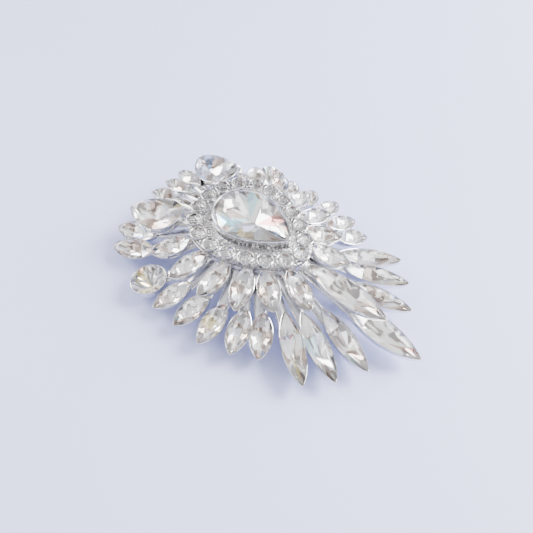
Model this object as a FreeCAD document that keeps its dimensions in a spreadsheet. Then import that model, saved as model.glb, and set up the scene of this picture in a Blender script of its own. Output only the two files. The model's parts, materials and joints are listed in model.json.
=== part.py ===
"""Rhinestone hair clip: a domed two-tier spray of cut stones round a large pear stone, on an alligator clip.

Frame: +X towards the pointed tail of the spray, +Y to its left side, +Z up.  The origin is under the middle
of the object, on the plane it stands on.  All lengths are millimetres and all angles are degrees.
"""
import FreeCAD, Part
import Sketcher
import math
import os

doc = FreeCAD.newDocument("RhinestoneHairClip")

# ------------------------------------------------------------------------------------------------------
# Driving dimensions
# ------------------------------------------------------------------------------------------------------
SIZES = {
    # where the halo of small stones lies, over the standing plane and from the middle of the object
    "halo_height": 14.5,
    "halo_offset": -9.55,
    # facet-cut stones: length, width, height over and depth under the girdle
    "petal_length": 10.2, "petal_width": 5.0, "petal_crown": 1.3, "petal_depth": 1.9,
    "long_length": 16.6, "long_width": 4.9, "long_crown": 1.4, "long_depth": 2.1,
    "tail_length": 20.3, "tail_width": 6.2, "tail_crown": 1.6, "tail_depth": 2.0,
    "shoulder_length": 12.2, "shoulder_width": 5.2, "shoulder_crown": 1.5, "shoulder_depth": 2.0,
    "head_length": 9.8, "head_width": 3.9, "head_crown": 1.2, "head_depth": 1.7,
    "pear_length": 14.6, "pear_width": 10.4, "pear_crown": 2.0, "pear_depth": 3.2,
    "round_length": 8.2, "round_width": 8.2, "round_crown": 1.9, "round_depth": 3.2,
    "centre_length": 19.9, "centre_width": 14.4, "centre_crown": 2.5, "centre_depth": 2.6,
    "chaton_length": 3.4, "chaton_width": 3.4, "chaton_crown": 0.8, "chaton_depth": 1.6,
    "table_scale": 0.5, "culet_scale": 0.16, "girdle_rise": 0.08, "girdle_drop": 0.12,
    # settings
    "wall": 0.25, "tip_wall": 0.32, "seat_gap": 0.04, "rim_rise": 0.25, "cup_floor": 0.4,
    "centre_middle": 2.5, "centre_rise": 2.0, "bezel_wall": 0.3, "bezel_waist": 0.96, "bezel_step": 0.5,
    # halo: an egg-shaped ring of small round cups
    "halo_count": 18, "halo_middle": 2.2, "halo_half_length": 14.0, "halo_half_width": 10.5,
    "halo_point": 0.3,
    "collar_radius": 1.97, "collar_foot": 0.2, "halo_margin": 1.7, "halo_plate_top": 0.7,
    "halo_plate_bottom": 1.9,
    # tier plates and the ribs that carry the cups
    "tier_plate": 1.4, "base_plate": 1.2, "base_margin": 0.6, "rib_start": 9.0, "rib_width": 2.0,
    "rib_thick": 1.0, "rib_sink": 0.1, "bridge_middle": 30.0, "bridge_reach": 14.0, "bridge_drop": 11.2,
    # rivets that hold the tiers together
    "rivet_radius": 0.7, "rivet_head_radius": 1.3, "rivet_head": 0.5, "rivet_gap": 0.02, "rivet_bite": 0.2,
    "rivet_front": 5.4, "rivet_front_side": 5.2, "rivet_rear": -4.0, "rivet_rear_side": 6.4,
    # alligator clip
    "jaw_width": 7.0, "jaw_thick": 0.9, "jaw_front": 16.5, "jaw_back": 16.0, "tab_back": 23.0,
    "hinge_back": 11.0, "hinge_height": 5.6, "pin_radius": 0.9, "pin_fit": 0.05, "pin_press": 0.02,
    "pin_head_radius": 1.5, "pin_head": 0.5, "ear_thick": 0.6, "ear_gap": 0.1, "ear_radius": 1.9,
    "sheet_thick": 1.0, "tab_pad": 2.0, "neck_back": 1.6, "neck_front": 4.0, "neck_height": 1.8,
    "belly_back": 0.0, "belly_front": 7.5, "nose_back": 12.0, "nose_gap": 0.05,
    "jaw_slot": 0.3, "slot_depth": 5.0,
    "tooth_rise": 0.45, "tooth_pitch": 1.0, "tooth_count": 5, "tooth_root": 0.05,
    "wire_radius": 0.38, "coil_inner": 1.08, "coil_length": 3.9, "coil_split": 0.1, "leg_lift": 0.05,
    "leg_inset": 0.1,
    "fixed_leg": 5.0, "fixed_leg_rise": 18.0, "moving_leg": 8.0, "moving_leg_drop": 15.5,
}

dims = doc.addObject("Spreadsheet::Sheet", "Dims")
for row, (name, number) in enumerate(SIZES.items(), start=1):
    dims.set(f"A{row}", name)
    dims.set(f"B{row}", str(number))
    dims.setAlias(f"B{row}", name)
doc.recompute()


def size(name):
    """A driving dimension, read back from the sheet."""
    return float(dims.get(name))


# ------------------------------------------------------------------------------------------------------
# Layout of the spray: each stone's outer tip, the way it points and how far it droops
# ------------------------------------------------------------------------------------------------------
# name: cut, tier, tip x, tip y, tip z under the halo, heading, droop, outward roll.
# A row off the middle line is mirrored.
SPRAY = {
    "tail_upper_stone": ("tail", "upper", 38.9, 0.0, 4.2, 0.0, 5.0, 0.0),
    "upper_navette_1": ("petal", "upper", 25.1, 8.0, 4.8, 22.0, 14.0, 0.0),
    "upper_navette_2": ("petal", "upper", 19.1, 13.6, 4.8, 40.0, 14.0, 0.0),
    "upper_navette_3": ("petal", "upper", 12.3, 18.6, 4.8, 69.0, 14.0, 0.0),
    "upper_navette_4": ("petal", "upper", 3.8, 20.9, 4.8, 93.0, 14.0, 0.0),
    "upper_navette_5": ("petal", "upper", -4.5, 21.4, 4.8, 109.0, 14.0, 0.0),
    "upper_navette_6": ("petal", "upper", -12.9, 19.3, 4.8, 130.0, 14.0, 0.0),
    "side_pear": ("pear", "upper", -27.4, 12.2, 5.0, 167.0, 12.0, 0.0),
    "head_navette_side": ("head", "upper", -27.7, 5.0, 5.4, 170.0, 16.0, 0.0),
    "head_navette": ("head", "upper", -27.4, 0.0, 5.0, 180.0, 15.0, 0.0),
    "tail_lower_stone": ("tail", "base", 48.9, 0.0, 10.0, 0.0, 6.5, 0.0),
    "long_navette_1": ("long", "base", 41.6, 9.7, 9.9, 18.0, 8.0, 0.0),
    "long_navette_2": ("long", "base", 37.6, 16.0, 9.9, 28.0, 8.0, 0.0),
    "long_navette_3": ("long", "base", 32.8, 21.0, 9.9, 39.0, 8.0, 0.0),
    "lower_navette_1": ("petal", "base", 22.1, 22.2, 10.0, 57.0, 18.0, 0.0),
    "lower_navette_2": ("petal", "base", 16.5, 25.1, 10.0, 72.0, 18.0, 0.0),
    "lower_navette_3": ("petal", "base", 9.4, 27.5, 10.2, 88.0, 18.0, 0.0),
    "lower_navette_4": ("petal", "base", 1.9, 27.5, 10.6, 104.0, 18.0, 0.0),
    "lower_navette_5": ("petal", "base", -5.1, 27.1, 11.0, 113.0, 18.0, 0.0),
    "round_stone": ("round", "base", -14.4, 24.9, 10.0, 150.0, 6.0, 0.0),
    "shoulder_navette_1": ("shoulder", "base", -26.2, 20.8, 11.2, 160.0, 13.0, 22.0),
    "shoulder_navette_2": ("shoulder", "base", -29.8, 16.0, 11.0, 166.0, 13.0, 22.0),
}


# ------------------------------------------------------------------------------------------------------
# Outlines and facet stacks
# ------------------------------------------------------------------------------------------------------
def navette_outline():
    """Two-pointed outline in a unit square, with full flanks."""
    fullness = 0.8
    upper = [math.cos(math.pi * i / 6) for i in range(7)]
    upper = [(x, (1.0 - x * x) ** fullness) for x in upper]
    return upper + [(x, -y) for x, y in upper[-2:0:-1]]


def pear_outline():
    """Teardrop in a unit square, pointed at +X."""
    sides, sharpness = 16, 0.7
    turns = [2 * math.pi * i / sides for i in range(sides)]
    drop = [(math.cos(t), math.sin(t) * abs(math.sin(t / 2)) ** sharpness) for t in turns]
    widest = max(y for _, y in drop)
    return [(x, y / widest) for x, y in drop]


def round_outline():
    """Regular polygon inside the unit circle."""
    sides = 16
    return [(math.cos(2 * math.pi * i / sides), math.sin(2 * math.pi * i / sides)) for i in range(sides)]


OUTLINES = {
    "pear": pear_outline(), "centre": pear_outline(),
    "round": round_outline(), "chaton": round_outline(),
}


def flat_face(points):
    return Part.Face(Part.makePolygon(points + points[:1]))


def facet_stack(outline, levels):
    """Closed solid with flat facets: an outline at each level (z, half length, half width), bottom first."""
    rings = [[FreeCAD.Vector(x * half_x, y * half_y, z) for x, y in outline] for z, half_x, half_y in levels]
    faces = [flat_face(rings[0][::-1]), flat_face(rings[-1])]
    corners = len(outline)
    for low, high in zip(rings, rings[1:]):
        for i in range(corners):
            j = (i + 1) % corners
            faces.append(flat_face([low[i], low[j], high[j], high[i]]))
    return Part.Solid(Part.Shell(faces))


def outline_of(cut):
    return OUTLINES.get(cut, navette_outline())


def stone_shape(cut):
    """A facet-cut stone with its girdle at z = 0."""
    half_x, half_y = size(cut + "_length") / 2, size(cut + "_width") / 2
    table, culet = size("table_scale"), size("culet_scale")
    return facet_stack(outline_of(cut), [
        (-size(cut + "_depth"), half_x * culet, half_y * culet),
        (-size("girdle_drop"), half_x, half_y),
        (size("girdle_rise"), half_x, half_y),
        (size(cut + "_crown"), half_x * table, half_y * table),
    ])


def seat_shape(cut):
    """The space a stone needs in its cup, open above."""
    gap = size("seat_gap")
    half_x, half_y = size(cut + "_length") / 2 + 1.5 * gap, size(cut + "_width") / 2 + gap
    culet = size("culet_scale")
    return facet_stack(outline_of(cut), [
        (-size(cut + "_depth") - gap, half_x * culet, half_y * culet),
        (-size("girdle_drop") - gap, half_x, half_y),
        (size(cut + "_crown") + gap, half_x, half_y),
    ])


def cup_shape(cut):
    """The solid blank of a cup, before its seat is cut."""
    half_x, half_y = size(cut + "_length") / 2 + size("tip_wall"), size(cut + "_width") / 2 + size("wall")
    depth = size(cut + "_depth") + size("cup_floor")
    return facet_stack(outline_of(cut), [
        (-depth, half_x * 0.62, half_y * 0.62),
        (-depth * 0.6, half_x * 0.88, half_y * 0.88),
        (size("rim_rise"), half_x, half_y),
    ])


def master(kind, cut, shape):
    """One shape that many placed copies share."""
    feature = doc.addObject("Part::Feature", f"{kind}_{cut}")
    feature.Shape = shape
    return feature


CUTS = ("petal", "head", "long", "tail", "shoulder", "pear", "round", "centre", "chaton")
stones = {cut: master("Stone", cut, stone_shape(cut)) for cut in CUTS}
seats = {cut: master("Seat", cut, seat_shape(cut)) for cut in CUTS}
cups = {cut: master("Cup", cut, cup_shape(cut)) for cut in CUTS if cut not in ("centre", "chaton")}

nodes = []


def node(feature, label):
    """Marks a document object as a sub-part of its own."""
    feature.Label = label
    nodes.append(feature)
    return feature


def copy_of(source, name, placement):
    """A placed copy that follows its master."""
    copy = doc.addObject("Part::Compound", name)
    copy.Links = [source]
    copy.Placement = placement
    return copy


def halo_point(x, y, z):
    """A point given from the middle of the halo, in the object's frame."""
    return FreeCAD.Vector(x + size("halo_offset"), y, z + size("halo_height"))


def setting_placement(cut, tip_x, tip_y, drop, heading, droop, roll):
    """Places a stone whose +X end is the outer tip of its cup."""
    rotation = FreeCAD.Rotation(heading, droop, roll)
    reach = size(cut + "_length") / 2 + size("tip_wall")
    middle = halo_point(tip_x, tip_y, -drop) - rotation.multVec(FreeCAD.Vector(reach, 0, 0))
    return FreeCAD.Placement(middle, rotation)


class Seat:
    """One stone's place in the spray."""

    def __init__(self, name, cut, tier, placement):
        self.name, self.cut, self.tier, self.placement = name, cut, tier, placement


spray = []
for name, (cut, tier, tip_x, tip_y, drop, heading, droop, roll) in SPRAY.items():
    if tip_y == 0:
        spray.append(Seat(name, cut, tier, setting_placement(cut, tip_x, 0, drop, heading, droop, roll)))
        continue
    for side, sign in (("left", 1), ("right", -1)):
        place = setting_placement(cut, tip_x, sign * tip_y, drop, sign * heading, droop, sign * roll)
        spray.append(Seat(f"{name}_{side}", cut, tier, place))

for seat in spray:
    node(copy_of(stones[seat.cut], "Stone_" + seat.name, seat.placement), seat.name)


# ------------------------------------------------------------------------------------------------------
# Booleans and bound primitives
# ------------------------------------------------------------------------------------------------------
def fuse(name, shapes):
    feature = doc.addObject("Part::MultiFuse", name)
    feature.Shapes = shapes
    return feature


def gather(name, shapes):
    feature = doc.addObject("Part::Compound", name)
    feature.Links = shapes
    return feature


def cut_from(name, base, tool):
    feature = doc.addObject("Part::Cut", name)
    feature.Base = base
    feature.Tool = tool
    return feature


def bind(feature, **expressions):
    for prop, expression in expressions.items():
        feature.setExpression(prop.replace("__", "."), expression)
    return feature


def cylinder(name, radius, height, placement):
    feature = doc.addObject("Part::Cylinder", name)
    feature.Placement = placement
    return bind(feature, Radius=radius, Height=height)


def box(name, length, width, height, placement):
    feature = doc.addObject("Part::Box", name)
    feature.Placement = placement
    return bind(feature, Length=length, Width=width, Height=height)


# ------------------------------------------------------------------------------------------------------
# Halo
# ------------------------------------------------------------------------------------------------------
def egg(turn, margin=0.0):
    """A point of the halo's egg-shaped path, margin further out."""
    half_x, half_y = size("halo_half_length") + margin, size("halo_half_width") + margin
    x = size("halo_middle") + half_x * math.cos(turn)
    return x, half_y * math.sin(turn) * (1 - size("halo_point") * math.cos(turn))


def even_halo():
    """Points evenly spaced along the halo's path, from its pointed end."""
    steps = 2000
    samples = [egg(2 * math.pi * i / steps) for i in range(steps + 1)]
    travel = [0.0]
    for here, there in zip(samples, samples[1:]):
        travel.append(travel[-1] + math.dist(here, there))
    count = int(size("halo_count"))
    spaced = []
    for k in range(count):
        wanted = k * travel[-1] / count
        spaced.append(samples[min(range(steps + 1), key=lambda i: abs(travel[i] - wanted))])
    return spaced


def egg_plate(name, margin, bottom, top):
    """A flat egg-shaped plate between two heights under the halo."""
    sides = 36
    path = [egg(2 * math.pi * i / sides, margin) for i in range(sides)]
    rings = [[halo_point(x, y, -z) for x, y in path] for z in (bottom, top)]
    feature = doc.addObject("Part::Feature", name)
    feature.Shape = flat_face(rings[0]).extrude(rings[1][0] - rings[0][0])
    return feature


halo_plate = egg_plate("Halo_plate", size("halo_margin"), size("halo_plate_bottom"), size("halo_plate_top"))
collar_bottom = size("collar_foot") - size("halo_plate_bottom")
COLLAR_HEIGHT = "Dims.halo_plate_bottom - Dims.collar_foot + Dims.rim_rise"
collars, chaton_seats, chatons = [], [], []
for i, (x, y) in enumerate(even_halo()):
    on_plate = FreeCAD.Placement(halo_point(x, y, collar_bottom), FreeCAD.Rotation())
    at_girdle = FreeCAD.Placement(halo_point(x, y, 0), FreeCAD.Rotation())
    collars.append(cylinder(f"Collar_{i}", "Dims.collar_radius", COLLAR_HEIGHT, on_plate))
    chaton_seats.append(copy_of(seats["chaton"], f"Chaton_seat_{i}", at_girdle))
    chatons.append(copy_of(stones["chaton"], f"Chaton_{i}", at_girdle))
node(gather("Halo_chatons", chatons), "halo_chatons")

# ------------------------------------------------------------------------------------------------------
# Centre stone and its bezel
# ------------------------------------------------------------------------------------------------------
centre = FreeCAD.Placement(halo_point(size("centre_middle"), 0, size("centre_rise")), FreeCAD.Rotation())
node(copy_of(stones["centre"], "Centre_stone", centre), "centre_stone")
bezel_blank = doc.addObject("Part::Feature", "Bezel_blank")
bezel_x, bezel_y = (size(side) / 2 + size("bezel_wall") for side in ("centre_length", "centre_width"))
waist = size("bezel_waist")
bezel_foot = -size("centre_rise") - size("halo_plate_top")
bezel_blank.Shape = facet_stack(outline_of("centre"), [
    (bezel_foot, bezel_x, bezel_y),
    (bezel_foot + size("bezel_step"), bezel_x * waist, bezel_y * waist),
    (size("rim_rise"), bezel_x, bezel_y),
])
bezel_blank.Placement = centre
node(cut_from("Centre_bezel", bezel_blank, copy_of(seats["centre"], "Centre_seat", centre)), "centre_bezel")


# ------------------------------------------------------------------------------------------------------
# Rivets through the three layers
# ------------------------------------------------------------------------------------------------------
tier_top = size("halo_plate_bottom")
base_top = tier_top + size("tier_plate")
base_bottom = base_top + size("base_plate")
RIVET_HEIGHT = "Dims.tier_plate + Dims.base_plate + Dims.rivet_bite"
RIVETS = [(size(f"rivet_{end}"), sign * size(f"rivet_{end}_side")) for end in ("front", "rear")
          for sign in (1, -1)]
rivet_holes, rivet_solids = [], []
for i, (x, y) in enumerate(RIVETS):
    foot = FreeCAD.Placement(halo_point(x, y, -base_bottom), FreeCAD.Rotation())
    under = FreeCAD.Placement(halo_point(x, y, -base_bottom - size("rivet_head")), FreeCAD.Rotation())
    shank = cylinder(f"Rivet_shank_{i}", "Dims.rivet_radius", RIVET_HEIGHT, foot)
    head = cylinder(f"Rivet_head_{i}", "Dims.rivet_head_radius", "Dims.rivet_head", under)
    rivet_solids.append(fuse(f"Rivet_{i}", [shank, head]))
    rivet_holes.append(cylinder(f"Rivet_hole_{i}", "Dims.rivet_radius + Dims.rivet_gap", RIVET_HEIGHT, foot))
node(gather("Tier_rivets", rivet_solids), "tier_rivets")

halo_blank = fuse("Halo_blank", [halo_plate] + collars)
node(cut_from("Halo_setting", halo_blank, gather("Halo_cuts", chaton_seats + rivet_holes)), "halo_setting")


# ------------------------------------------------------------------------------------------------------
# Tier castings: a plate, ribs and cups fused, then the seats cut
# ------------------------------------------------------------------------------------------------------
def rib(seat, start, start_drop):
    """A bar from the plate to the inner half of a cup, in its middle depth."""
    inner_reach = 0.55 * size(seat.cut + "_length") / 2
    last = seat.placement.multVec(FreeCAD.Vector(-inner_reach, 0, -0.45 * size(seat.cut + "_depth")))
    origin = halo_point(0, 0, 0)
    across = FreeCAD.Vector(last.x - origin.x, last.y - origin.y, 0)
    first = origin + across * (start / across.Length) - FreeCAD.Vector(0, 0, start_drop)
    run = last - first
    heading = math.degrees(math.atan2(run.y, run.x))
    droop = math.degrees(math.asin(-run.z / run.Length))
    rotation = FreeCAD.Rotation(heading, droop, 0)
    corner = first + rotation.multVec(FreeCAD.Vector(0, -size("rib_width") / 2, -size("rib_thick")))
    length = str(round(run.Length, 3))
    place = FreeCAD.Placement(corner, rotation)
    return box("Rib_" + seat.name, length, "Dims.rib_width", "Dims.rib_thick", place)


def tier(label, seats_here, plate, ribs, holes, relief):
    blanks = [copy_of(cups[seat.cut], "Cup_" + seat.name, seat.placement) for seat in seats_here]
    seat_tools = [copy_of(seats[seat.cut], "Seat_" + seat.name, seat.placement) for seat in seats_here]
    blank = fuse(label + "_blank", [plate] + ribs + blanks)
    node(cut_from(label + "_casting", blank, gather(label + "_cuts", seat_tools + holes + relief)), label)
    return blank


upper_seats = [seat for seat in spray if seat.tier == "upper"]
base_seats = [seat for seat in spray if seat.tier == "base"]

# room for the upper jaw, cut from whatever reaches below the base plate
slot_room = size("jaw_slot")
slot_corner = halo_point(-size("jaw_back") - slot_room, -size("jaw_width") / 2 - slot_room,
                         -base_bottom - size("slot_depth"))
jaw_slot = box("Jaw_slot", "Dims.jaw_back + Dims.jaw_front + 2 * Dims.jaw_slot",
               "Dims.jaw_width + 2 * Dims.jaw_slot", "Dims.slot_depth",
               FreeCAD.Placement(slot_corner, FreeCAD.Rotation()))

upper_plate = egg_plate("Upper_plate", size("halo_margin"), base_top, tier_top)
upper_ribs = [rib(seat, size("rib_start"), tier_top + size("rib_sink")) for seat in upper_seats]
upper_blank = tier("upper_tier", upper_seats, upper_plate, upper_ribs, rivet_holes, [jaw_slot])

BRIDGED_CUPS = ("tail_lower_stone", "long_navette_1_left", "long_navette_1_right")
base_plate = egg_plate("Base_plate", size("base_margin"), base_bottom, base_top)
base_ribs = [rib(seat, size("rib_start"), base_top) for seat in base_seats if seat.name not in BRIDGED_CUPS]
bridge_corner = halo_point(size("bridge_middle"), -size("bridge_reach"), -size("bridge_drop"))
tail_bridge = box("Tail_bridge", "Dims.rib_width", "2 * Dims.bridge_reach", "Dims.rib_thick",
                  FreeCAD.Placement(bridge_corner, FreeCAD.Rotation()))
tier("base_frame", base_seats, base_plate, base_ribs + [tail_bridge], rivet_holes, [upper_blank, jaw_slot])

# ------------------------------------------------------------------------------------------------------
# Alligator clip under the base
# ------------------------------------------------------------------------------------------------------
ALONG_Y = FreeCAD.Rotation(FreeCAD.Vector(1, 0, 0), -90)


def profile_body(name, points, width):
    """A PartDesign body: a closed side profile, its corners bound to the sheet, padded both ways from y = 0."""
    body = doc.addObject("PartDesign::Body", name)
    sketch = body.newObject("Sketcher::SketchObject", name + "_profile")
    plane = next(item for item in body.Origin.OriginFeatures if item.Role == "XZ_Plane")
    sketch.AttachmentSupport = [(plane, "")]
    sketch.MapMode = "FlatFace"
    count = len(points)
    corners = [FreeCAD.Vector(i, i * i, 0) for i in range(count)]
    for i in range(count):
        sketch.addGeometry(Part.LineSegment(corners[i], corners[(i + 1) % count]), False)
    for i in range(count):
        sketch.addConstraint(Sketcher.Constraint("Coincident", i, 2, (i + 1) % count, 1))
    for i, (x, z) in enumerate(points):
        for kind, reading in (("DistanceX", x), ("DistanceY", z)):
            start = corners[i].x if kind == "DistanceX" else corners[i].y
            index = sketch.addConstraint(Sketcher.Constraint(kind, -1, 1, i, 1, start))
            sketch.setExpression(f"Constraints[{index}]", reading)
    pad = body.newObject("PartDesign::Pad", name + "_pad")
    pad.Profile = sketch
    pad.Midplane = True
    pad.setExpression("Length", width)
    body.Tip = pad
    return body


def y_cylinder(name, radius, height, x, z, start):
    """A cylinder along Y from y = start."""
    place = FreeCAD.Placement(FreeCAD.Vector(x, start, z), ALONG_Y)
    return cylinder(name, radius, height, place)


jaw_top = size("halo_height") - base_bottom
jaw_under = jaw_top - size("jaw_thick")
hinge_x = size("halo_offset") - size("hinge_back")
hinge_z = size("hinge_height")
JAW_TOP = "(Dims.halo_height - Dims.halo_plate_bottom - Dims.tier_plate - Dims.base_plate)"
JAW_UNDER = f"({JAW_TOP} - Dims.jaw_thick)"
HINGE = "(Dims.halo_offset - Dims.hinge_back)"
LOWER_WIDTH = "(Dims.jaw_width - 2 * Dims.ear_thick - 2 * Dims.ear_gap)"
lower_half = size("jaw_width") / 2 - size("ear_thick") - size("ear_gap")


def ears(name, outer_half, low, high):
    """Two hinge ears, each a plate with a round end about the hinge, between two heights."""
    parts = []
    for side, start in (("left", outer_half - size("ear_thick")), ("right", -outer_half)):
        label = f"{name}_round_{side}"
        round_end = y_cylinder(label, "Dims.ear_radius", "Dims.ear_thick", hinge_x, hinge_z, start)
        corner = FreeCAD.Vector(hinge_x - size("ear_radius"), start, low)
        plate = box(f"{name}_plate_{side}", "2 * Dims.ear_radius", "Dims.ear_thick", str(round(high - low, 4)),
                    FreeCAD.Placement(corner, FreeCAD.Rotation()))
        parts += [round_end, plate]
    return parts


strip = profile_body("Upper_strip", [
    ("Dims.halo_offset - Dims.jaw_back", JAW_UNDER),
    ("Dims.halo_offset + Dims.jaw_front", JAW_UNDER),
    ("Dims.halo_offset + Dims.jaw_front", JAW_TOP),
    ("Dims.halo_offset - Dims.jaw_back", JAW_TOP),
], "Dims.jaw_width")
upper_ears = ears("Upper_ear", size("jaw_width") / 2, hinge_z, jaw_under)
upper_bore = y_cylinder("Upper_bore", "Dims.pin_radius + Dims.pin_press", "Dims.jaw_width", hinge_x, hinge_z,
                        -size("jaw_width") / 2)
node(cut_from("Upper_jaw", fuse("Upper_jaw_blank", [strip] + upper_ears), upper_bore), "upper_jaw")

THICK = "Dims.sheet_thick"
NOSE = f"{JAW_UNDER} - Dims.nose_gap - Dims.tooth_rise - Dims.sheet_thick"
nose = jaw_under - size("nose_gap") - size("tooth_rise") - size("sheet_thick")
under_side = [
    ("Dims.halo_offset - Dims.tab_back", "0"),
    ("Dims.halo_offset - Dims.tab_back + Dims.tab_pad", "0"),
    (f"{HINGE} - Dims.neck_back", "Dims.neck_height"),
    (f"{HINGE} + Dims.neck_front", "Dims.neck_height"),
    ("Dims.halo_offset + Dims.belly_back", "0"),
    ("Dims.halo_offset + Dims.belly_front", "0"),
    ("Dims.halo_offset + Dims.nose_back", NOSE),
    ("Dims.halo_offset + Dims.jaw_front", NOSE),
]
upper_side = [(x, f"{z} + {THICK}") for x, z in reversed(under_side)]
lower_strip = profile_body("Lower_strip", under_side + upper_side, LOWER_WIDTH)
lower_ears = ears("Lower_ear", lower_half, size("neck_height"), hinge_z)
lower_bore = y_cylinder("Lower_bore", "Dims.pin_radius + Dims.pin_fit", "Dims.jaw_width", hinge_x, hinge_z,
                        -size("jaw_width") / 2)
teeth = []
for i in range(int(size("tooth_count"))):
    back = size("halo_offset") + size("jaw_front") - (i + 1) * size("tooth_pitch")
    tooth = doc.addObject("Part::Wedge", f"Tooth_{i}")
    root = FreeCAD.Vector(back, lower_half, nose + size("sheet_thick") - size("tooth_root"))
    tooth.Placement = FreeCAD.Placement(root, FreeCAD.Rotation(FreeCAD.Vector(1, 0, 0), 90))
    bind(tooth, Xmax="Dims.tooth_pitch", X2min="Dims.tooth_pitch / 2", X2max="Dims.tooth_pitch / 2",
         Ymax="Dims.tooth_rise + Dims.tooth_root", Zmax=LOWER_WIDTH, Z2max=LOWER_WIDTH)
    tooth.Xmin = tooth.Ymin = tooth.Zmin = tooth.Z2min = 0
    teeth.append(tooth)
lower_blank = fuse("Lower_jaw_blank", [lower_strip] + lower_ears + teeth)
node(cut_from("Lower_jaw", lower_blank, lower_bore), "lower_jaw")

half_width = size("jaw_width") / 2
pin_parts = [
    y_cylinder("Pin_shank", "Dims.pin_radius", "Dims.jaw_width", hinge_x, hinge_z, -half_width),
    y_cylinder("Pin_head_left", "Dims.pin_head_radius", "Dims.pin_head", hinge_x, hinge_z, half_width),
    y_cylinder("Pin_head_right", "Dims.pin_head_radius", "Dims.pin_head", hinge_x, hinge_z,
               -half_width - size("pin_head")),
]
node(fuse("Hinge_pin", pin_parts), "hinge_pin")


def spring_half(label, start, leg_y, leg_length, leg_rise, side):
    """Half of the torsion spring: its turns as one ridged sleeve, and the leg that bears on one jaw."""
    coil_outer = "Dims.coil_inner + 2 * Dims.wire_radius"
    half = "(Dims.coil_length - Dims.coil_split) / 2"
    sleeve = y_cylinder(label + "_sleeve", coil_outer, half, hinge_x, hinge_z, start)
    hollow = y_cylinder(label + "_hollow", "Dims.coil_inner", half, hinge_x, hinge_z, start)
    centre_line = size("coil_inner") + size("wire_radius") + size("leg_lift")
    foot = FreeCAD.Vector(hinge_x, leg_y, hinge_z + side * centre_line)
    lean = FreeCAD.Rotation(FreeCAD.Vector(0, 1, 0), -90 + side * size(leg_rise))
    leg = cylinder(label + "_leg", "Dims.wire_radius", f"Dims.{leg_length}", FreeCAD.Placement(foot, lean))
    return node(cut_from(label.title(), fuse(label + "_blank", [sleeve, leg]), hollow), label)


half_coil = size("coil_length") / 2
leg_line = half_coil - size("wire_radius") - size("leg_inset")
spring_half("spring_fixed_half", size("coil_split") / 2, leg_line, "fixed_leg", "fixed_leg_rise", 1)
spring_half("spring_moving_half", -half_coil, -leg_line, "moving_leg", "moving_leg_drop", -1)

# ------------------------------------------------------------------------------------------------------
# Checks and files
# ------------------------------------------------------------------------------------------------------
doc.recompute()
for item in doc.Objects:
    if "Invalid" in item.State or "Error" in item.State:
        raise RuntimeError(f"{item.Label} failed to rebuild: {item.State}")
for item in nodes:
    if item.Shape.isNull() or not item.Shape.isValid():
        raise RuntimeError(f"{item.Label} has no valid shape")
os.makedirs("parts", exist_ok=True)
for item in nodes:
    item.Shape.exportStep(f"parts/{item.Label}.step")
whole = Part.makeCompound([item.Shape for item in nodes])
extent = whole.BoundBox
print(f"{len(nodes)} sub-parts, {sum(len(item.Shape.Solids) for item in nodes)} solids")
print(f"x {extent.XMin:.2f} to {extent.XMax:.2f}, y {extent.YMin:.2f} to {extent.YMax:.2f}")
print(f"z {extent.ZMin:.2f} to {extent.ZMax:.2f}")
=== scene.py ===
"""Looks of the rhinestone hair clip: foil-backed cut stones, silver-plated cups and tiers, and a sprung steel clip.

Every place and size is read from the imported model's own meshes.  Lengths in this file are millimetres, turned into
metres where a mesh is made; angles are degrees unless a name says otherwise.
"""
import json
import math
import random

import bmesh
import bpy
from mathutils import Matrix, Vector


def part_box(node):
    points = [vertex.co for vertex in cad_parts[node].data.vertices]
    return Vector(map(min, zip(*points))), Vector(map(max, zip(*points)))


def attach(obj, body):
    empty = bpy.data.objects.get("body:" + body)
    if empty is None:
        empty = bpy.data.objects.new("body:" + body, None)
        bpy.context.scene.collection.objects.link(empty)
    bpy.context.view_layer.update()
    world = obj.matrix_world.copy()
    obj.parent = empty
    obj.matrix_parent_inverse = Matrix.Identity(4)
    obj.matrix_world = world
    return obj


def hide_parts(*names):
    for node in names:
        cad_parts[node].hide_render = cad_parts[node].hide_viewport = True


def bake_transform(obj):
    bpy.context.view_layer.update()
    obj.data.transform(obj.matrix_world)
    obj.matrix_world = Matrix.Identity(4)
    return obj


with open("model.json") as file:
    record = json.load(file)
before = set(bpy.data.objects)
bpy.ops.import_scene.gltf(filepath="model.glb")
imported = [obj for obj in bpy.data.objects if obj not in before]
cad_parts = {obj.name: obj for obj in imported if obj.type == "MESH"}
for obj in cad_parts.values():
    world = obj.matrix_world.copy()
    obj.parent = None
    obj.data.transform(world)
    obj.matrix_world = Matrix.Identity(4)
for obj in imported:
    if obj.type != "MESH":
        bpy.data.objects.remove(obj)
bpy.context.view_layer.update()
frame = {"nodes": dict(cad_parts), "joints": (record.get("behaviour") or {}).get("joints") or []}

MM = 0.001
NODES = frame["nodes"]
draw = random.Random(7)


# ----------------------------------------------------------------------------------------------------------------
# Materials
# ----------------------------------------------------------------------------------------------------------------
def principled(name, **sockets):
    made = bpy.data.materials.new(name)
    made.use_nodes = True
    shader = made.node_tree.nodes["Principled BSDF"]
    for socket, setting in sockets.items():
        shader.inputs[socket.replace("_", " ")].default_value = setting
    return made, shader


def add_node(made, kind, **settings):
    new = made.node_tree.nodes.new(kind)
    for setting, value in settings.items():
        setattr(new, setting, value)
    return new


def texture(made, kind, per_mm, stretch=(1, 1, 1), **settings):
    """A texture in the object's own coordinates with per_mm features to the millimetre."""
    links = made.node_tree.links
    place = add_node(made, "ShaderNodeTexCoord")
    mapping = add_node(made, "ShaderNodeMapping")
    mapping.inputs["Scale"].default_value = stretch
    made_texture = add_node(made, kind, **settings)
    made_texture.inputs["Scale"].default_value = per_mm / MM
    links.new(place.outputs["Object"], mapping.inputs["Vector"])
    links.new(mapping.outputs["Vector"], made_texture.inputs["Vector"])
    return made_texture


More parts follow.
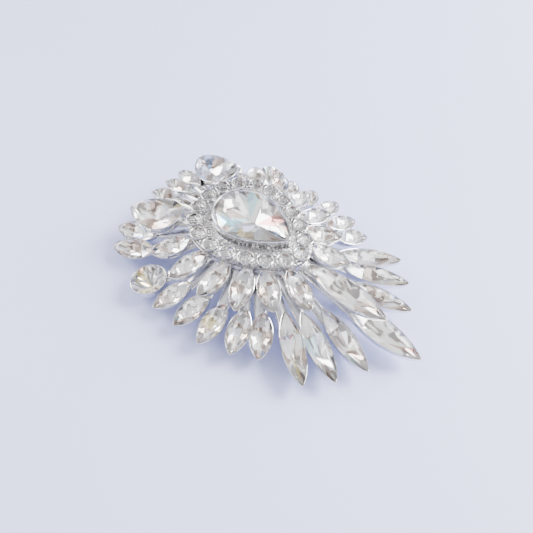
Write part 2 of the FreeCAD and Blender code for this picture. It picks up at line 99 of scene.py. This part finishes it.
def drive(made, source, target, low, high, start=0.3, end=0.7):
    """Leads a texture's value, spread from low to high, to a socket."""
    spread = add_node(made, "ShaderNodeMapRange")
    for socket, value in (("From Min", start), ("From Max", end), ("To Min", low), ("To Max", high)):
        spread.inputs[socket].default_value = value
    made.node_tree.links.new(source, spread.inputs["Value"])
    made.node_tree.links.new(spread.outputs["Result"], target)


def tone(made, source, target, low, high):
    """Leads a texture's value to a colour socket, from one colour to another."""
    blend = add_node(made, "ShaderNodeMix", data_type="RGBA")
    blend.inputs["A"].default_value = (*low, 1)
    blend.inputs["B"].default_value = (*high, 1)
    made.node_tree.links.new(source, blend.inputs["Factor"])
    made.node_tree.links.new(blend.outputs["Result"], target)


def bump(made, shader, source, depth_mm, strength=1.0):
    relief = add_node(made, "ShaderNodeBump")
    relief.inputs["Strength"].default_value = strength
    relief.inputs["Distance"].default_value = depth_mm * MM
    made.node_tree.links.new(source, relief.inputs["Height"])
    made.node_tree.links.new(relief.outputs["Normal"], shader.inputs["Normal"])


def crystal():
    """Clear lead glass with faint smears on its facets."""
    made, shader = principled("Crystal", Transmission_Weight=1.0, IOR=1.38)
    smears = texture(made, "ShaderNodeTexNoise", 0.35)
    drive(made, smears.outputs["Fac"], shader.inputs["Roughness"], 0.0, 0.02, 0.55, 0.85)
    tone(made, smears.outputs["Fac"], shader.inputs["Base Color"], (0.99, 0.985, 0.98), (1.0, 1.0, 1.0))
    return made


def foil():
    """The silvering behind the stones: each face shows its own painted reflection colour, with fine speckles where it
    is thin, and glows faintly in that colour though it is no lamp (painted light).
    """
    made, shader = principled("Foil", Metallic=1.0, Emission_Strength=0.30)
    painted_reflection = add_node(made, "ShaderNodeAttribute", attribute_name="facet")
    speckle = texture(made, "ShaderNodeTexNoise", 4.0)
    blend = add_node(made, "ShaderNodeMix", data_type="RGBA", blend_type="MULTIPLY")
    blend.inputs["Factor"].default_value = 1.0
    tone(made, speckle.outputs["Fac"], blend.inputs["B"], (0.9, 0.89, 0.88), (1.0, 1.0, 1.0))
    made.node_tree.links.new(painted_reflection.outputs["Color"], blend.inputs["A"])
    made.node_tree.links.new(blend.outputs["Result"], shader.inputs["Base Color"])
    # painted glow: the foil emits its painted reflection colours at strength 0.30
    made.node_tree.links.new(painted_reflection.outputs["Color"], shader.inputs["Emission Color"])
    drive(made, speckle.outputs["Fac"], shader.inputs["Roughness"], 0.03, 0.09)
    return made


def plating(name, gloss, relief_mm, per_mm, dull=(0.72, 0.71, 0.71), bright=(0.90, 0.90, 0.91)):
    """Bright silver plate over a casting: cloudy polish and a fine grain left from the mould."""
    made, shader = principled(name, Metallic=1.0)
    clouds = texture(made, "ShaderNodeTexNoise", 0.5)
    grain = texture(made, "ShaderNodeTexNoise", per_mm)
    tone(made, clouds.outputs["Fac"], shader.inputs["Base Color"], dull, bright)
    drive(made, clouds.outputs["Fac"], shader.inputs["Roughness"], gloss * 0.6, gloss * 1.5)
    bump(made, shader, grain.outputs["Fac"], relief_mm)
    return made


def granulated():
    """The plate between the cups, covered with cast grains; its colour is painted darker from each grain's middle out
    to the gaps between grains, painted shade in the crevices.
    """
    made, shader = principled("Granulated_silver", Metallic=1.0)
    cells = texture(made, "ShaderNodeTexVoronoi", 2.2, feature="F1")
    clouds = texture(made, "ShaderNodeTexNoise", 0.8)
    # painted shade: lighter grey at each grain's middle, much darker grey in the gaps between grains
    tone(made, cells.outputs["Distance"], shader.inputs["Base Color"], (0.66, 0.66, 0.67), (0.26, 0.25, 0.25))
    drive(made, clouds.outputs["Fac"], shader.inputs["Roughness"], 0.16, 0.34)
    bump(made, shader, cells.outputs["Distance"], -0.14, 0.7)
    return made


def brushed(name, color, along=(0.08, 1, 1)):
    """Rolled sheet or drawn wire: fine lines along the metal and cloudy wear."""
    made, shader = principled(name, Metallic=1.0)
    lines = texture(made, "ShaderNodeTexNoise", 6.0, along)
    wear = texture(made, "ShaderNodeTexNoise", 0.3)
    darker = tuple(0.82 * channel for channel in color)
    tone(made, wear.outputs["Fac"], shader.inputs["Base Color"], darker, color)
    drive(made, lines.outputs["Fac"], shader.inputs["Roughness"], 0.18, 0.36)
    bump(made, shader, lines.outputs["Fac"], 0.012)
    return made


CRYSTAL = crystal()
FOIL = foil()
SATIN = plating("Satin_plate", 0.20, 0.02, 3.0)
POLISHED = plating("Polished_plate", 0.09, 0.006, 2.0)
# the halo's cup walls: silver plate painted dark grey, painted shade in the hollows between the small stones
SHADE = plating("Cup_walls", 0.26, 0.02, 3.0, (0.34, 0.33, 0.33), (0.50, 0.49, 0.49))
GRAINS = granulated()
STEEL = brushed("Plated_sheet", (0.84, 0.84, 0.85))
WIRE = brushed("Drawn_wire", (0.70, 0.70, 0.72), (1, 1, 1))


# ----------------------------------------------------------------------------------------------------------------
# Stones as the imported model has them
# ----------------------------------------------------------------------------------------------------------------
class Stone:
    """A stone's own axes, with X towards its tip and Z out of its table, and its sizes in millimetres."""

    def __init__(self, name, points, normals, hub):
        self.name = name
        self.kind = "round" if "round" in name or "chaton" in name else "navette"
        if "pear" in name or "centre" in name:
            self.kind = "pear"
        middle = sum(points, Vector()) / len(points)
        up = max(normals, key=lambda entry: entry[1] if entry[0].z > 0 else 0)[0]
        tip = max(points, key=lambda p: (p - middle).length + 0.01 * (p - hub).length)
        tail = max(points, key=lambda p: (p - tip).length)
        ahead = (tip - tail) - up * (tip - tail).dot(up)
        ahead.normalize()
        side = up.cross(ahead)
        if self.kind == "pear" and self.wider_ahead(points, ahead, side):
            ahead, side = -ahead, -side
        spans = [(min(p.dot(axis) for p in points), max(p.dot(axis) for p in points)) for axis in (ahead, side, up)]
        self.half_x, self.half_y = (spans[0][1] - spans[0][0]) / 2, (spans[1][1] - spans[1][0]) / 2
        rim = [p.dot(up) for p in points if p.dot(ahead) > spans[0][1] - 0.02 * self.half_x]
        girdle = (min(rim) + max(rim)) / 2
        self.crown, self.depth = spans[2][1] - girdle, girdle - spans[2][0]
        origin = ahead * sum(spans[0]) / 2 + side * sum(spans[1]) / 2 + up * girdle
        self.matrix = Matrix((ahead, side, up)).transposed().to_4x4()
        self.matrix.translation = origin

    @staticmethod
    def wider_ahead(points, ahead, side):
        """Whether the outline is wider in its front quarter than in its rear one: a pear's tip lies the other way."""
        along = sorted(p.dot(ahead) for p in points)
        quarter = (along[-1] - along[0]) / 4
        front = [p.dot(side) for p in points if p.dot(ahead) > along[-1] - quarter]
        rear = [p.dot(side) for p in points if p.dot(ahead) < along[0] + quarter]
        return max(front) - min(front) > max(rear) - min(rear)

    def at(self, x, y, z):
        """A point given in the stone's own axes."""
        return self.matrix @ Vector((x, y, z))


def read_stones(name, hub):
    """The stones of a node, one for each of its separate solids."""
    mesh = bmesh.new()
    mesh.from_mesh(NODES[name].data)
    bmesh.ops.remove_doubles(mesh, verts=mesh.verts, dist=MM * 0.001)
    mesh.faces.ensure_lookup_table()
    mesh.faces.index_update()
    seen, found = set(), []
    for start in mesh.faces:
        if start.index in seen:
            continue
        seen.add(start.index)
        queue, group = [start], []
        while queue:
            face = queue.pop()
            group.append(face)
            for edge in face.edges:
                for other in edge.link_faces:
                    if other.index not in seen:
                        seen.add(other.index)
                        queue.append(other)
        areas, points = {}, {}
        for face in group:
            key = tuple(round(c, 2) for c in face.normal)
            areas[key] = (face.normal.copy(), areas.get(key, (None, 0))[1] + face.calc_area())
            for vert in face.verts:
                points[vert.index] = vert.co / MM
        found.append(Stone(name, list(points.values()), list(areas.values()), hub))
    mesh.free()
    return found


def box_mm(name):
    low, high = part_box(name)
    return Vector(low) / MM, Vector(high) / MM


low, high = box_mm("centre_stone")
hub = (low + high) / 2
CHATONS = read_stones("halo_chatons", hub)
CHATONS.sort(key=lambda s: math.atan2(s.matrix.translation.y - hub.y, s.matrix.translation.x - hub.x))
CENTRE = read_stones("centre_stone", hub)[0]
FEATURES = ("navette", "stone", "pear")
SPRAY = [read_stones(n, hub)[0] for n in sorted(NODES) if n != "centre_stone" and any(f in n for f in FEATURES)]
BASE_TIER = ("tail_lower", "long", "lower", "round", "shoulder")


# ----------------------------------------------------------------------------------------------------------------
# Outlines and meshes
# ----------------------------------------------------------------------------------------------------------------
NAVETTE_POINT = 0.6
PEAR_POINT = 0.7
PEAR_WIDEST = max(math.sin(a / 100) * math.sin(a / 200) ** PEAR_POINT for a in range(1, 314))


def outline(kind, turn):
    """A point of a stone's outline in a unit square, from its tip at turn 0 round to turn 1."""
    angle = 2 * math.pi * turn
    across = math.sin(angle)
    if kind == "navette":
        across *= abs(math.sin(angle)) ** NAVETTE_POINT
    if kind == "pear":
        across *= abs(math.sin(angle / 2)) ** PEAR_POINT / PEAR_WIDEST
    return math.cos(angle), across


CREASE = math.radians(35)


class Build:
    """A mesh in the making, in millimetres."""

    def __init__(self):
        self.mesh = bmesh.new()
        # per-face colour layer read by the foil: painted reflection and glint colours
        self.facets = self.mesh.loops.layers.float_color.new("facet")

    def face(self, verts, material=0, smooth=True, painted_reflection=(1, 1, 1)):
        made = self.mesh.faces.new(verts)
        made.material_index = material
        made.smooth = smooth
        for loop in made.loops:
            loop[self.facets] = (*painted_reflection, 1)
        return made

    def loft(self, rings, material=0, caps=(True, True), smooth=True):
        """Closed rings of points joined by quads."""
        rows = [[self.mesh.verts.new(p) for p in ring] for ring in rings]
        count = len(rows[0])
        for here, there in zip(rows, rows[1:]):
            for i in range(count):
                j = (i + 1) % count
                self.face([here[i], here[j], there[j], there[i]], material, smooth)
        if caps[0]:
            self.face(rows[0][::-1], material, False)
        if caps[1]:
            self.face(rows[-1], material, False)

    def link(self, name, materials):
        """The mesh as an object of the scene, in metres."""
        bmesh.ops.recalc_face_normals(self.mesh, faces=self.mesh.faces)
        data = bpy.data.meshes.new(name)
        for vert in self.mesh.verts:
            vert.co *= MM
        self.mesh.to_mesh(data)
        self.mesh.free()
        for made in materials:
            data.materials.append(made)
        linked = bpy.data.objects.new(name, data)
        bpy.context.scene.collection.objects.link(linked)
        return linked

    def finish(self, name, body, slot, materials, replaced=()):
        made = self.link(name, materials)
        made.data.set_sharp_from_angle(angle=CREASE)
        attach(made, body)
        if replaced:
            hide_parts(*replaced)
        return made


# ----------------------------------------------------------------------------------------------------------------
# Cut stones
# ----------------------------------------------------------------------------------------------------------------
# painted reflection colours for the foil's faces: near-white silver with faint painted reflections, taupe and dark
# painted reflections, and painted coloured glints
SILVER_AND_FAINT_PAINTED_REFLECTIONS = ((1.0, 1.0, 1.0), (0.94, 0.95, 1.0), (1.0, 0.99, 0.97), (0.84, 0.82, 0.81))
PAINTED_TAUPE_REFLECTIONS = ((0.62, 0.53, 0.48), (0.76, 0.68, 0.63), (0.48, 0.39, 0.34))
PAINTED_DARK_REFLECTIONS = ((0.22, 0.21, 0.22), (0.34, 0.32, 0.32), (0.14, 0.14, 0.16))
PAINTED_COLOUR_GLINTS = ((0.45, 0.58, 0.90), (0.60, 0.88, 0.96), (0.98, 0.86, 0.50), (0.72, 0.40, 0.38), (0.25, 0.30, 0.45))


# picks one painted reflection colour for a foil face from the tables above, by the given shares of taupe, dark and
# glint colours
def painted_facet_reflection(taupe=0.26, flash=0.06, dark=0.0):
    chance = draw.random()
    if chance > 1 - dark:
        return draw.choice(PAINTED_DARK_REFLECTIONS)
    if chance < flash:
        return draw.choice(PAINTED_COLOUR_GLINTS)
    if chance < flash + taupe:
        return draw.choice(PAINTED_TAUPE_REFLECTIONS)
    return draw.choice(SILVER_AND_FAINT_PAINTED_REFLECTIONS)


def gem(build, stone, count, table=0.60, shoulder=0.84, keel=0.35, taupe=0.26, flash=0.06, dark=0.0):
    """A point-backed stone with count main facets: clear crown and girdle, silvered pavilion whose faces each carry a
    painted reflection colour, some of them painted coloured glints.
    """
    new = build.mesh.verts.new

    def ring(number, offset, scale, z):
        made = []
        for i in range(number):
            x, y = outline(stone.kind, (i + offset) / number)
            made.append(new(stone.at(x * stone.half_x * scale, y * stone.half_y * scale, z)))
        return made

    half = 2 * count
    rise, drop = 0.08, -0.12
    tables = ring(count, 0, table, stone.crown)
    stars = ring(count, 0.5, shoulder, stone.crown * 0.52)
    top = ring(half, 0, 1, rise)
    under = ring(half, 0, 1, drop)
    deep = ring(count, 0.5, 0.62, -stone.depth * 0.52)
    reach = keel * (stone.half_x - stone.half_y)
    ends = [new(stone.at(reach, 0, -stone.depth)), new(stone.at(-reach, 0, -stone.depth))] if reach > 0.1 else None
    culet = new(stone.at(0, 0, -stone.depth)) if ends is None else None

    def keel_of(i):
        if culet:
            return culet
        return ends[0] if outline(stone.kind, (i + 0.5) / count)[0] > -1e-6 else ends[1]

    build.face(tables, 0, False)
    for i in range(count):
        before, after = (i - 1) % count, (i + 1) % count
        even, odd, following = 2 * i, 2 * i + 1, (2 * i + 2) % half
        build.face([tables[i], stars[i], tables[after]], 0, False)
        build.face([tables[i], stars[before], top[even]], 0, False)
        build.face([tables[i], top[even], stars[i]], 0, False)
        build.face([stars[i], top[even], top[odd]], 0, False)
        build.face([stars[i], top[odd], top[following]], 0, False)
        build.face([top[even], under[even], under[odd], top[odd]], 0, False)
        build.face([top[odd], under[odd], under[following], top[following]], 0, False)
        # the faces just under the girdle get taupe and dark painted reflections more often
        build.face([deep[i], under[odd], under[even]], 1, False, painted_facet_reflection(taupe=0.35, dark=max(dark, 0.2)))
        build.face([deep[i], under[following], under[odd]], 1, False, painted_facet_reflection(taupe=0.35, dark=max(dark, 0.2)))
        main, point, other = painted_facet_reflection(taupe, flash, dark), keel_of(i), keel_of(before)
        build.face([under[even], deep[before], other], 1, False, main)
        if other is not point:
            build.face([under[even], other, point], 1, False, main)
        build.face([under[even], point, deep[i]], 1, False, main)


FACET_COUNT = {"navette": 8, "pear": 10, "round": 8}
for stone in SPRAY:
    build = Build()
    gem(build, stone, 10 if stone.half_x > 7 else FACET_COUNT[stone.kind])
    build.finish(stone.name + "_cut", "ornament", "crystal", [CRYSTAL, FOIL], [stone.name])

build = Build()
gem(build, CENTRE, 14, table=0.5, shoulder=0.8, taupe=0.08, flash=0.16)
build.finish("centre_stone_cut", "ornament", "crystal", [CRYSTAL, FOIL], ["centre_stone"])

build = Build()
for stone in CHATONS:
    gem(build, stone, 8, keel=0, dark=0.3)
build.finish("halo_chatons_cut", "ornament", "crystal", [CRYSTAL, FOIL], ["halo_chatons"])


# ----------------------------------------------------------------------------------------------------------------
# Cups, plates and ribs
# ----------------------------------------------------------------------------------------------------------------
TIP_GAIN = 1.3
CUP_FLOOR = 0.4
WALL = 1
PLATE_EDGE = 0.35
RIB_START = 8.5
RIB_WIDTH, RIB_THICK = 3.0, 1.1
RIM = ((-0.06, -0.50), (0.01, -0.25), (0.01, 0.05), (-0.02, 0.11), (0.01, 0.15), (0.07, 0.17), (0.13, 0.14),
       (0.17, 0.06), (0.16, -0.04), (0.13, -0.12), (0.13, -0.40))


def stone_ring(stone, out, scale, z, steps):
    points = []
    for i in range(steps):
        x, y = outline(stone.kind, i / steps)
        half_x, half_y = (stone.half_x + TIP_GAIN * out) * scale, (stone.half_y + out) * scale
        points.append(stone.at(x * half_x, y * half_y, z))
    return points


def cup(build, stone, steps=40, floor=CUP_FLOOR):
    """A thin cup with a rolled rim round the stone's girdle and a rounded back of its own metal."""
    depth = stone.depth + floor
    rings = [stone_ring(stone, out, 1, z, steps) for out, z in RIM]
    build.loft(rings, 0, (False, False))
    rings = [rings[-1]]
    for scale, share in ((0.97, 0.42), (0.90, 0.62), (0.80, 0.80), (0.68, 0.93), (0.52, 1.0)):
        rings.append(stone_ring(stone, 0.16, scale, -depth * share, steps))
    build.loft(rings, WALL, (False, True))


def rounded_slab(build, path, bottom, top, edge, material=0):
    """A flat plate over a closed path, with rounded edges."""
    middle = sum(path, Vector((0, 0))) / len(path)
    rings = []
    for turn in range(5):
        angle = math.pi * (turn / 4 - 0.5)
        inset = edge * (1 - math.cos(angle))
        z = (bottom + edge if turn < 2 else top - edge) + edge * math.sin(angle)
        if turn == 2:
            z = (bottom + top) / 2
        ring = []
        for p in path:
            away = p - middle
            ring.append(Vector((*(middle + away * (1 - inset / away.length)), z)))
        rings.append(ring)
    build.loft(rings, material)


def bar(build, start, end, width, thick, material=0, sides=12):
    """A straight rib of oval section that widens slightly into what it joins."""
    run = (end - start).normalized()
    across = run.cross(Vector((0, 0, 1))).normalized()
    above = across.cross(run)
    rings = []
    for share, swell in ((0, 1.25), (0.12, 1.0), (0.5, 0.9), (0.88, 1.0), (1, 1.2)):
        centre = start.lerp(end, share)
        ring = []
        for i in range(sides):
            angle = 2 * math.pi * i / sides
            ring.append(centre + across * (width / 2 * swell * math.cos(angle)) + above * (thick / 2 * math.sin(angle)))
        rings.append(ring)
    build.loft(rings, material)


def halo_path(margin, samples=72):
    """The closed curve through the halo's small stones, margin further out."""
    centres = [s.matrix.translation.xy for s in CHATONS]
    count = len(centres)
    path = []
    for k in range(samples):
        at = k * count / samples
        i, t = int(at), at - int(at)
        a, b, c, d = (centres[(i + j) % count] for j in (-1, 0, 1, 2))
        point = 0.5 * ((2 * b) + (c - a) * t + (2 * a - 5 * b + 4 * c - d) * t * t + (3 * b - a - 3 * c + d) * t ** 3)
        slope = 0.5 * ((c - a) + 2 * (2 * a - 5 * b + 4 * c - d) * t + 3 * (3 * b - a - 3 * c + d) * t * t)
        outward = Vector((slope.y, -slope.x)).normalized()
        path.append(point + outward * margin)
    return path


halo_low = box_mm("halo_setting")[0]
bezel_low = box_mm("centre_bezel")[0]
jaw_high = box_mm("upper_jaw")[1]
HALO_TOP = bezel_low.z
TIER_TOP = halo_low.z
BASE_BOTTOM = jaw_high.z
BASE_SHARE = 0.46
TIER_MIDDLE = BASE_BOTTOM + (TIER_TOP - BASE_BOTTOM) * BASE_SHARE


def tier(members, bottom, top, margin, rib_drop):
    """A plate with a cup and a rib for each of its stones."""
    build = Build()
    rounded_slab(build, halo_path(margin), bottom, top, PLATE_EDGE, WALL)
    for stone in members:
        cup(build, stone, 32 if stone.kind == "navette" else 48)
        inner = stone.at(-stone.half_x * 0.35, 0, -stone.depth * 0.70)
        away = (inner - hub).xy.normalized()
        start = Vector((hub.x + away.x * RIB_START, hub.y + away.y * RIB_START, top - rib_drop))
        bar(build, start, inner, RIB_WIDTH, RIB_THICK, WALL)
    return build


def is_base(stone):
    return stone.name.startswith(BASE_TIER)


upper = [s for s in SPRAY if not is_base(s)]
base = [s for s in SPRAY if is_base(s)]
tier(upper, TIER_MIDDLE, TIER_TOP, 1.6, 0.6).finish(
    "upper_tier_casting", "ornament", "plated_setting", [POLISHED, SATIN], ["upper_tier"])

tier(base, BASE_BOTTOM, TIER_MIDDLE, 0.5, 0.5).finish(
    "base_casting", "ornament", "plated_setting", [POLISHED, SATIN], ["base_frame"])

# halo: a granulated plate, round cups and small claws beside the gaps between them; its cup walls carry painted shade
# and its plate is painted darker between grains (painted shade)
CLAW_SIDE = 1.25
CLAW = ((-1.2, 0.26), (-0.1, 0.24), (0.08, 0.22), (0.20, 0.14), (0.24, 0.04))
build = Build()
rounded_slab(build, halo_path(1.6), TIER_TOP, HALO_TOP, 0.3, 2)
for stone in CHATONS:
    cup(build, stone, 32, 0.2)
count = len(CHATONS)
for i, stone in enumerate(CHATONS):
    here, there = stone.matrix.translation, CHATONS[(i + 1) % count].matrix.translation
    along = (there - here).normalized()
    outward = along.cross(Vector((0, 0, 1)))
    for side in (-CLAW_SIDE, CLAW_SIDE):
        foot = (here + there) / 2 + outward * side
        rings = []
        for height, radius in CLAW:
            ring = []
            for k in range(10):
                angle = 2 * math.pi * k / 10
                ring.append(foot + Vector((radius * math.cos(angle), radius * math.sin(angle), height)))
            rings.append(ring)
        build.loft(rings)
build.finish("halo_casting", "ornament", "plated_setting", [POLISHED, SHADE, GRAINS], ["halo_setting"])

# bezel of the centre stone: a wall with a step at its foot and a rolled double rim
build = Build()
foot = bezel_low.z - CENTRE.matrix.translation.z
profile = ((0.0, -1.2), (0.02, 0.05), (-0.06, 0.14), (0.0, 0.22), (0.10, 0.24), (0.20, 0.17), (0.22, 0.04),
           (0.16, -0.08), (0.22, -0.18), (0.29, -0.30), (0.29, -0.48), (0.20, -0.62), (0.12, -0.95),
           (0.08, foot + 0.8), (0.16, foot + 0.5), (0.28, foot + 0.3), (0.30, foot + 0.1), (0.30, foot))
build.loft([stone_ring(CENTRE, out, 1, z, 72) for out, z in profile], 0, (False, True))
build.finish("centre_bezel_wall", "ornament", "plated_setting", [POLISHED], ["centre_bezel"])


# ----------------------------------------------------------------------------------------------------------------
# The clip
# ----------------------------------------------------------------------------------------------------------------
def dress(name, made, edge):
    """A packed sub-part keeps its shape, with softened edges and its own metal."""
    part = NODES[name]
    part.data.materials.clear()
    part.data.materials.append(made)
    weld = part.modifiers.new("Weld", "WELD")
    weld.merge_threshold = 0.002 * MM
    soften = part.modifiers.new("Edges", "BEVEL")
    soften.width = edge * MM
    soften.segments = 2
    soften.limit_method = "ANGLE"
    soften.angle_limit = CREASE


for name, made, edge in (("upper_jaw", STEEL, 0.15), ("lower_jaw", STEEL, 0.15), ("hinge_pin", POLISHED, 0.12),
                         ("tier_rivets", POLISHED, 0.12)):
    dress(name, made, edge)

fixed_low, fixed_high = box_mm("spring_fixed_half")
moving_low = box_mm("spring_moving_half")[0]
joint = frame["joints"][0]
pivot = Vector(joint["pos_m"]) / MM
wire_radius = 0.38
coil_radius = 1.46
coil_turns = 4.5
coil_end = fixed_high.y - wire_radius


def spring_line():
    """The middle line of the coil about the pin, from the fixed side to the moving side."""
    steps = 150
    coil = []
    for i in range(steps + 1):
        angle = math.radians(90) + 2 * math.pi * coil_turns * i / steps
        y = coil_end * (1 - 2 * i / steps)
        coil.append(pivot + Vector((coil_radius * math.cos(angle), y, coil_radius * math.sin(angle))))
    return coil


line = spring_line()
first = Vector((fixed_low.x + wire_radius, line[0].y, fixed_high.z - wire_radius))
last = Vector((moving_low.x + wire_radius, line[-1].y, moving_low.z + wire_radius))
line = [first.lerp(line[0], t / 6) for t in range(6)] + line + [line[-1].lerp(last, t / 6) for t in range(1, 7)]
build = Build()
rings = []
for i, here in enumerate(line):
    run = (line[min(i + 1, len(line) - 1)] - line[max(i - 1, 0)]).normalized()
    side = run.cross(Vector((0, 1, 0)))
    side = side.normalized() if side.length > 0.01 else Vector((1, 0, 0))
    above = side.cross(run)
    ring = []
    for k in range(12):
        angle = 2 * math.pi * k / 12
        ring.append(here + (side * math.cos(angle) + above * math.sin(angle)) * wire_radius)
    rings.append(ring)
build.loft(rings)
spring = build.link("spring_wire", [WIRE])
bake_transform(spring)
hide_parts("spring_fixed_half", "spring_moving_half")


# ----------------------------------------------------------------------------------------------------------------
# Floor, light and camera
# ----------------------------------------------------------------------------------------------------------------
def floor():
    made, shader = principled("Floor_paper", Roughness=0.6)
    fibres = texture(made, "ShaderNodeTexNoise", 0.02)
    tone(made, fibres.outputs["Fac"], shader.inputs["Base Color"], (0.60, 0.64, 0.99), (0.63, 0.67, 1.0))
    bpy.ops.mesh.primitive_plane_add(size=12)
    plane = bpy.context.object
    plane.name = "floor"
    plane.data.materials.append(made)


def studio():
    """Pale room, plain at the horizon: bright panes above, with a few darker warm ones for the facets to pick up."""
    world = bpy.data.worlds.new("Studio")
    bpy.context.scene.world = world
    world.use_nodes = True
    nodes, links = world.node_tree.nodes, world.node_tree.links
    place = nodes.new("ShaderNodeTexCoord")
    panes = nodes.new("ShaderNodeTexVoronoi")
    panes.inputs["Scale"].default_value = 2.3
    share = nodes.new("ShaderNodeSeparateColor")
    ramp = nodes.new("ShaderNodeValToRGB")
    stops = ramp.color_ramp.elements
    ramp.color_ramp.interpolation = "CONSTANT"
    stops[0].position, stops[0].color = 0.0, (0.14, 0.11, 0.095, 1)
    stops[1].position, stops[1].color = 0.82, (2.2, 2.2, 2.25, 1)
    for position, color in ((0.16, (0.46, 0.40, 0.36, 1)), (0.30, (0.70, 0.72, 0.80, 1)), (0.48, (1.1, 1.1, 1.13, 1))):
        stops.new(position).color = color
    links.new(place.outputs["Generated"], panes.inputs["Vector"])
    links.new(panes.outputs["Color"], share.inputs["Color"])
    links.new(share.outputs["Red"], ramp.inputs["Fac"])
    heights = nodes.new("ShaderNodeSeparateXYZ")
    links.new(place.outputs["Generated"], heights.inputs["Vector"])
    above = nodes.new("ShaderNodeMapRange")
    above.inputs["From Min"].default_value, above.inputs["From Max"].default_value = 0.22, 0.34
    links.new(heights.outputs["Z"], above.inputs["Value"])
    blend = nodes.new("ShaderNodeMix")
    blend.data_type = "RGBA"
    blend.inputs["A"].default_value = (0.72, 0.76, 0.90, 1)
    links.new(above.outputs["Result"], blend.inputs["Factor"])
    links.new(ramp.outputs["Color"], blend.inputs["B"])
    links.new(blend.outputs["Result"], nodes["Background"].inputs["Color"])
    nodes["Background"].inputs["Strength"].default_value = 1.25


def card(name, place, size, watts, color=(1, 1, 1)):
    """A rectangular soft light that faces the object."""
    lamp = bpy.data.lights.new(name, "AREA")
    lamp.shape = "RECTANGLE"
    lamp.size, lamp.size_y = size
    lamp.energy = watts
    lamp.color = color
    made = bpy.data.objects.new(name, lamp)
    made.location = place
    made.rotation_mode = "QUATERNION"
    made.rotation_quaternion = (Vector(place) - hub * MM).to_track_quat("Z", "Y")
    bpy.context.scene.collection.objects.link(made)


VIEWPOINT = (43.4, -53.8, 76.1)


def camera():
    """Looks down at the clip over its left shoulder, from above its tail's right side."""
    azimuth, elevation, roll = math.radians(36.06), math.radians(53.9), math.radians(3.1)
    back = Vector((math.sin(azimuth) * math.cos(elevation), -math.cos(azimuth) * math.cos(elevation),
                   math.sin(elevation)))
    right = Vector((math.cos(azimuth), math.sin(azimuth), 0))
    above = back.cross(right)
    turned = right * math.cos(roll) + above * math.sin(roll)
    above = above * math.cos(roll) - right * math.sin(roll)
    lens = bpy.data.cameras.new("Camera")
    lens.sensor_width, lens.lens = 36, 30.4
    lens.clip_start, lens.clip_end = 0.005, 10
    made = bpy.data.objects.new("Camera", lens)
    made.matrix_world = Matrix((turned, above, back)).transposed().to_4x4()
    made.matrix_world.translation = (hub + Vector(VIEWPOINT)) * MM
    bpy.context.scene.collection.objects.link(made)
    bpy.context.scene.camera = made


floor()
studio()
card("Key", (0.26, 0.34, 0.42), (0.25, 0.25), 9)
card("Side", (-0.45, -0.10, 0.35), (0.20, 0.40), 3)
card("Back", (0.30, 0.45, 0.25), (0.40, 0.15), 3)
camera()
